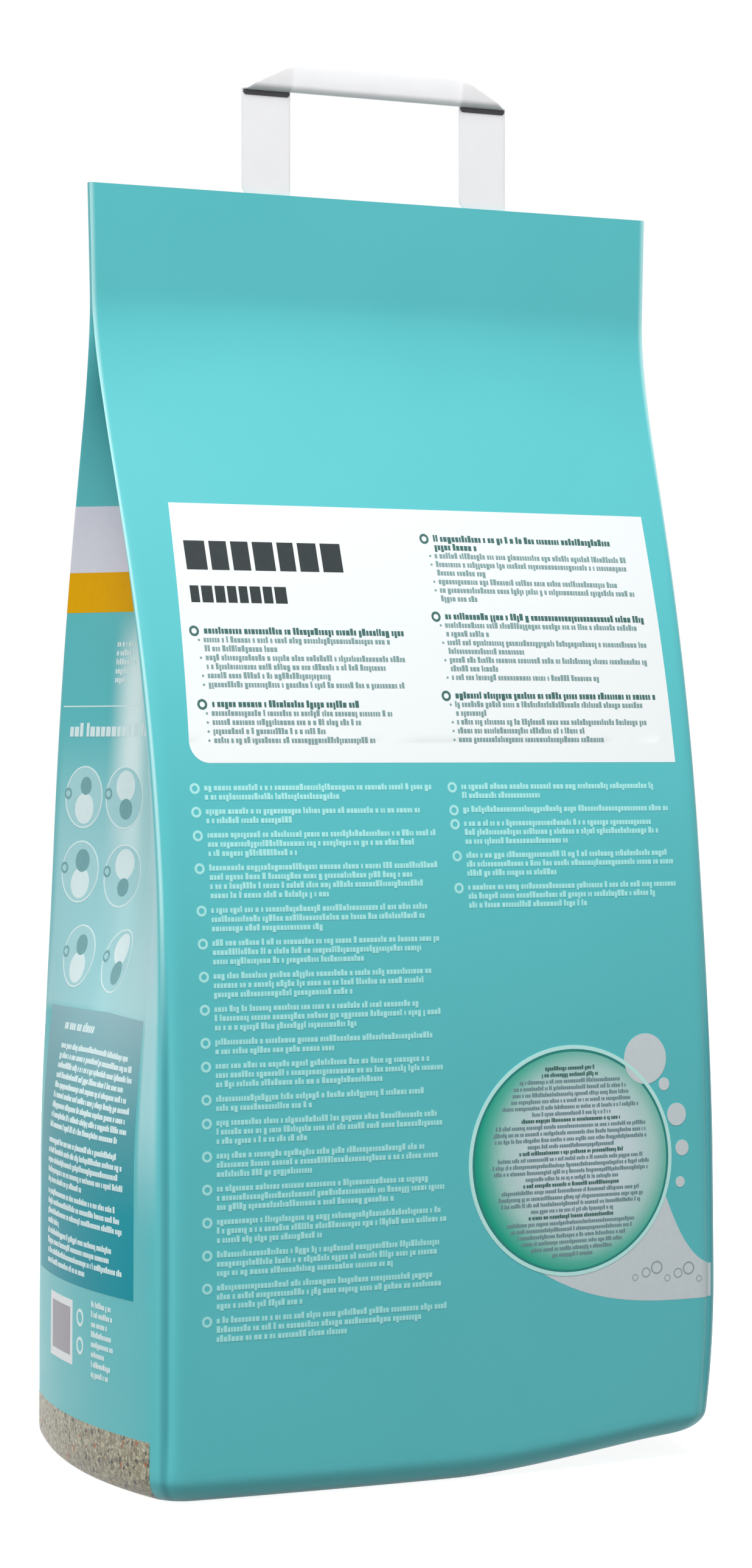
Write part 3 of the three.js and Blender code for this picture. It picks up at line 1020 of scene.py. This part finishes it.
toRight = (wedge["right"] - wedgeWeb) / wedge["fallWidth"]
highEdge = np.minimum(underDisc, wedge["high"] + wedge["fall"] * toRight ** wedge["fallBend"])
inkSkin("tint_wedge", wedgeWeb, lowEdge + (highEdge - lowEdge) * share, tintInk, ink["tint"])

dots = {"away": 53.0, "from": 48.0, "step": -15.0, "sizes": [10.2, 2.6, 4.6, 3.2, 2.2]}
dotPlaces = []
for i, size in enumerate(dots["sizes"]):
    turn = math.radians(dots["from"] + dots["step"] * i)
    web = roundel["centre"][0] + dots["away"] * math.cos(turn)
    up = roundel["centre"][1] + dots["away"] * math.sin(turn)
    dotPlaces.append((web, up, size))
printRings("tint_dots", dotPlaces, tintInk, 0, base["motif"])

bubbles = {
    "count": 7, "web": 84.0, "step": 5.2, "up": 74.5, "rise": 2.2, "sink": 0.5,
    "size": 1.3, "growth": 0.6, "stroke": 0.25,
}
bubblePlaces = []
for i in range(bubbles["count"]):
    up = bubbles["up"] + bubbles["rise"] * (i % 3) - bubbles["sink"] * i
    size = bubbles["size"] + bubbles["growth"] * (i % 3)
    bubblePlaces.append((bubbles["web"] + bubbles["step"] * i, up, size))
bubbleInk = inkMaterial("slate ink on pale tint", "#8FA3A6", "#9AACAE")
printRings("tint_rings", bubblePlaces, bubbleInk, bubbles["stroke"], base["tint"])


# Handle: the same strap all the way, its legs welded into the seal. The grip starts with a lip in
# front of the legs, leans back a little and folds over at the top.

strap = {
    "width": 21.0, "thickness": 0.8, "lap": 0.1, "span": 118.5, "legHeight": 42.5, "legInSeal": 26.0,
    # the grip's lean towards the information side, in degrees, at these distances up it
    "leanAlong": (0.0, 2.6, 11.0, 15.0, 21.0), "leans": (64.0, -6.0, -14.0, -150.0, -170.0),
    "mitre": 1.8,  # the grip's ends come in by this much for each step up its front
    "front": 12.0,  # up to the fold along its top
    "sway": 3.0,  # its upper edge lies this far over towards +X
    "tip": 3.5,  # the legs' pointed ends stop this far short of the strap's width
    "notch": (1.8, 3.2),  # the leg's edge at -X is cut in by this much, over this height above the seal
}


def strapPoint(x, along, front):
    # The middle of the strap's thickness, or "front" millimetres out of it.
    steps = np.linspace(0, strap["width"], 211)
    leans = np.radians(np.interp(steps, strap["leanAlong"], strap["leans"]))
    between = (leans[1:] + leans[:-1]) / 2
    ys = np.concatenate([[0], np.cumsum(-np.sin(between))]) * steps[1]
    zs = np.concatenate([[0], np.cumsum(np.cos(between))]) * steps[1]
    lean = np.where(along > 0, np.interp(along, steps, leans), 0)
    y = np.interp(along, steps, ys) - front * np.cos(lean)
    z = np.interp(along, steps, zs) + np.minimum(along, 0) - front * np.sin(lean)
    z = z + film["height"] + strap["legHeight"]
    return np.stack([x + strap["sway"] * np.maximum(along, 0) / strap["width"], y, z], -1) * mm


def strapPlate(x, along, front):
    # A closed plate from grids of x and along; front is the middle of its thickness.
    half = strap["thickness"] / 2
    outer = strapPoint(x, along, front + half).reshape(-1, 3)
    inner = strapPoint(x, along, front - half).reshape(-1, 3)
    return np.concatenate([outer, inner]), plateFaces(*x.shape)


def strapPlastic():
    # Extruded white polyethylene tape: matt and slightly cloudy, with fine lines along its length
    # about half a millimetre apart. Being thin, it lets much of the light through.
    material, tree, shader = newMaterial("polyethylene strap, extruded, white")
    place = addNode(tree, "ShaderNodeTexCoord").outputs["Object"]
    cloud = addNode(tree, "ShaderNodeTexNoise", {"Vector": place, "Scale": 1000 / 12, "Detail": 3.0})
    colour = addNode(tree, "ShaderNodeMix", {
        "Factor": cloud.outputs[0], 6: srgb("#ECECEF"), 7: srgb("#F2F2F4"),
    }, data_type="RGBA")
    across, along = 1000 / 0.5, 1000 / 60
    streaks = addNode(tree, "ShaderNodeMapping", {
        "Vector": place, "Scale": (across, across, along),
    }).outputs[0]
    lines = addNode(tree, "ShaderNodeTexNoise", {"Vector": streaks, "Scale": 1.0, "Detail": 1.0})
    bump = addNode(tree, "ShaderNodeBump", {
        "Height": lines.outputs[0], "Distance": 0.03 * mm, "Strength": 0.4,
    })
    setInputs(tree, shader, {
        "Base Color": colour.outputs[2], "Normal": bump.outputs[0], "Roughness": 0.48,
        "Subsurface Weight": 0.7, "Subsurface Radius": (1.0, 1.0, 1.0), "Subsurface Scale": 3 * mm,
    })
    return material


def makeStrap():
    points, faces = [], []

    def add(plate):
        shift = sum(len(p) for p in points)
        points.append(plate[0])
        faces.extend([tuple(shift + q for q in f) for f in plate[1]])

    gripRows, gripColumns, legColumns = 64, 61, 13
    alongs, shares = np.linspace(0, strap["width"], gripRows), np.linspace(-1, 1, gripColumns)
    along, share = np.meshgrid(alongs, shares, indexing="ij")
    reach = strap["span"] / 2 - strap["mitre"] * np.minimum(along, strap["front"])
    add(strapPlate(share * reach, along, strap["thickness"] - strap["lap"]))
    cutIn, cutHeight = strap["notch"]
    seal = -strap["legHeight"]  # along the strap, where a leg comes out of the seal
    stops = np.concatenate([
        [seal - strap["legInSeal"]],
        np.linspace(seal - 1, seal + cutHeight, 9),
        np.linspace(seal + cutHeight, 0, 12)[1:],
        np.linspace(0, (strap["width"] - strap["tip"]) / strap["mitre"], 33)[1:],
    ])
    along, share = np.meshgrid(stops, np.linspace(0, 1, legColumns), indexing="ij")
    outer = strap["span"] / 2 - strap["mitre"] * np.maximum(0, along)
    inner = np.full_like(outer, strap["span"] / 2 - strap["width"])
    for low, high in ((-outer, -inner), (inner, outer)):
        above = (along - seal) / cutHeight
        low = low + cutIn * np.clip(1 - above, 0, 1) ** 2
        add(strapPlate(low + (high - low) * share, along, 0.0))
    handle = meshObject("strap_handle", np.concatenate(points), faces, strapPlastic(), sharpAbove=40)
    bevel = handle.modifiers.new("soft edges", "BEVEL")
    bevel.width, bevel.segments = 0.15 * mm, 2
    bevel.limit_method, bevel.angle_limit = "ANGLE", math.radians(60)
    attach(handle, "root")
    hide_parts("carry_handle")


def foldShadeInk():
    # Painted shade under the strap's fold: a charcoal bead, glossy in places, with an uneven skin.
    material, tree, shader = newMaterial("painted fold shade, charcoal")
    place = addNode(tree, "ShaderNodeTexCoord").outputs["Object"]
    flow = addNode(tree, "ShaderNodeTexNoise", {"Vector": place, "Scale": 1000 / 2.5, "Detail": 2.0})
    rough = addNode(tree, "ShaderNodeMapRange", {0: flow.outputs[0], 3: 0.3, 4: 0.5})
    bump = addNode(tree, "ShaderNodeBump", {
        "Height": flow.outputs[0], "Distance": 0.1 * mm, "Strength": 0.5,
    })
    setInputs(tree, shader, {
        "Base Color": srgb("#2C2C30"), "Roughness": rough.outputs[0], "Normal": bump.outputs[0],
    })
    return material


def makeFoldShade():
    # A dark bead under the fold at the top of each leg, half round in section: painted shade, standing
    # where the fold's shadow falls on the leg.
    shadeBead = {
        "height": 2.7, "proud": 0.5, "behind": 0.2,
        "inset": 0.3,  # from the leg's edges
        "endRound": 1.2, "endSize": 0.35,
    }
    stations, sides = 25, 16
    bead = bmesh.new()
    tall = shadeBead["height"]
    top = film["height"] + strap["legHeight"]
    front = -strap["thickness"] / 2
    turns = np.linspace(0, 2 * math.pi, sides + 1)[:-1]
    for hand in (-1, 1):
        outer = hand * (strap["span"] / 2 - shadeBead["inset"])
        inner = hand * (strap["span"] / 2 - strap["width"] + shadeBead["inset"])
        start, end = min(outer, inner), max(outer, inner)
        rings = []
        for x in np.linspace(start, end, stations):
            toEnd = min(min(x - start, end - x) / shadeBead["endRound"], 1)
            size = shadeBead["endSize"] + (1 - shadeBead["endSize"]) * math.sqrt(1 - (1 - toEnd) ** 2)
            ring = []
            for turn in turns:
                out, back = max(0.0, math.cos(turn)), max(0.0, -math.cos(turn))
                y = front - out * shadeBead["proud"] * size + back * shadeBead["behind"]
                z = top - tall / 2 + math.sin(turn) * tall / 2 * size
                ring.append(bead.verts.new((x * mm, y * mm, z * mm)))
            rings.append(ring)
        for a, b in zip(rings, rings[1:]):
            for i in range(sides):
                k = (i + 1) % sides
                bead.faces.new((a[i], a[k], b[k], b[i]))
        bead.faces.new(rings[0])
        bead.faces.new(rings[-1])
    bmesh.ops.recalc_face_normals(bead, faces=bead.faces)
    mesh = bpy.data.meshes.new("strap_fold_shade")
    bead.to_mesh(mesh)
    bead.free()
    mesh.polygons.foreach_set("use_smooth", [True] * len(mesh.polygons))
    mesh.materials.append(foldShadeInk())
    finishPiece(newObject("strap_fold_shade", mesh))


makeStrap()
makeFoldShade()
print("strap folded")


# Floor, backdrop and light

studio = {
    "floorSize": 40.0, "floorColour": "#B0B0B0", "floorBounce": "#8A8A8A", "floorGlow": 0.92,
    "worldLight": 0.18, "aimHeight": 0.3,
    # soft round lamps: power, diameter and place
    "lamps": {
        "key": (76.0, 1.3, (-0.32, -1.0, 2.5)),
        "fill": (12.5, 1.2, (-1.9, -0.35, 0.8)),
        "back": (38.0, 1.2, (0.7, 1.9, 1.7)),
    },
}


def cameraShare(tree):
    # 1 where the camera, a mirror or glass looks straight at this surface, and 0 for its light.
    rays = addNode(tree, "ShaderNodeLightPath").outputs
    share = rays["Is Camera Ray"]
    for other in ("Is Glossy Ray", "Is Transmission Ray"):
        share = addNode(tree, "ShaderNodeMath", {0: share, 1: rays[other]}, operation="MAXIMUM").outputs[0]
    return share


def makeFloor():
    size = studio["floorSize"] / 2
    corners = [(-size, -size, 0), (size, -size, 0), (size, size, 0), (-size, size, 0)]
    material, tree, shader = newMaterial("painted studio floor, matt")
    tree.nodes.remove(shader)
    share = cameraShare(tree)
    paint = addNode(tree, "ShaderNodeMix", {
        "Factor": share, 6: srgb(studio["floorBounce"]), 7: srgb(studio["floorColour"]),
    }, data_type="RGBA").outputs[2]
    matt = addNode(tree, "ShaderNodeBsdfDiffuse", {"Color": paint})
    glow = addNode(tree, "ShaderNodeEmission", {"Strength": studio["floorGlow"]})
    none = addNode(tree, "ShaderNodeEmission", {"Strength": 0.0})
    seen = addNode(tree, "ShaderNodeMixShader", {0: share, 1: none.outputs[0], 2: glow.outputs[0]})
    both = addNode(tree, "ShaderNodeAddShader", {0: matt.outputs[0], 1: seen.outputs[0]})
    tree.links.new(both.outputs[0], tree.nodes["Material Output"].inputs[0])
    meshObject("floor", corners, [(0, 1, 2, 3)], material)


def makeWorld():
    world = bpy.data.worlds.new("studio")
    bpy.context.scene.world = world
    world.use_nodes = True
    tree = world.node_tree
    light = tree.nodes["Background"]
    setInputs(tree, light, {0: (1, 1, 1, 1), 1: studio["worldLight"]})
    white = addNode(tree, "ShaderNodeBackground", {0: (1, 1, 1, 1), 1: 1.0})
    mixed = addNode(tree, "ShaderNodeMixShader", {
        0: cameraShare(tree), 1: light.outputs[0], 2: white.outputs[0],
    })
    tree.links.new(mixed.outputs[0], tree.nodes["World Output"].inputs[0])


def makeLamps():
    for name, (power, size, place) in studio["lamps"].items():
        lamp = bpy.data.lights.new(name, "AREA")
        lamp.shape = "DISK"
        lamp.size = size
        lamp.energy = power
        thing = newObject(name, lamp)
        thing.location = place
        aim = np.array([0, 0, studio["aimHeight"]]) - np.array(place)
        tilt = math.atan2(math.hypot(aim[0], aim[1]), -aim[2])
        thing.rotation_euler = (tilt, 0, math.atan2(aim[1], aim[0]) - math.pi / 2)
        thing.visible_camera = False


makeFloor()
makeWorld()
makeLamps()
bpy.context.scene.view_settings.view_transform = "Standard"
print("studio lit")
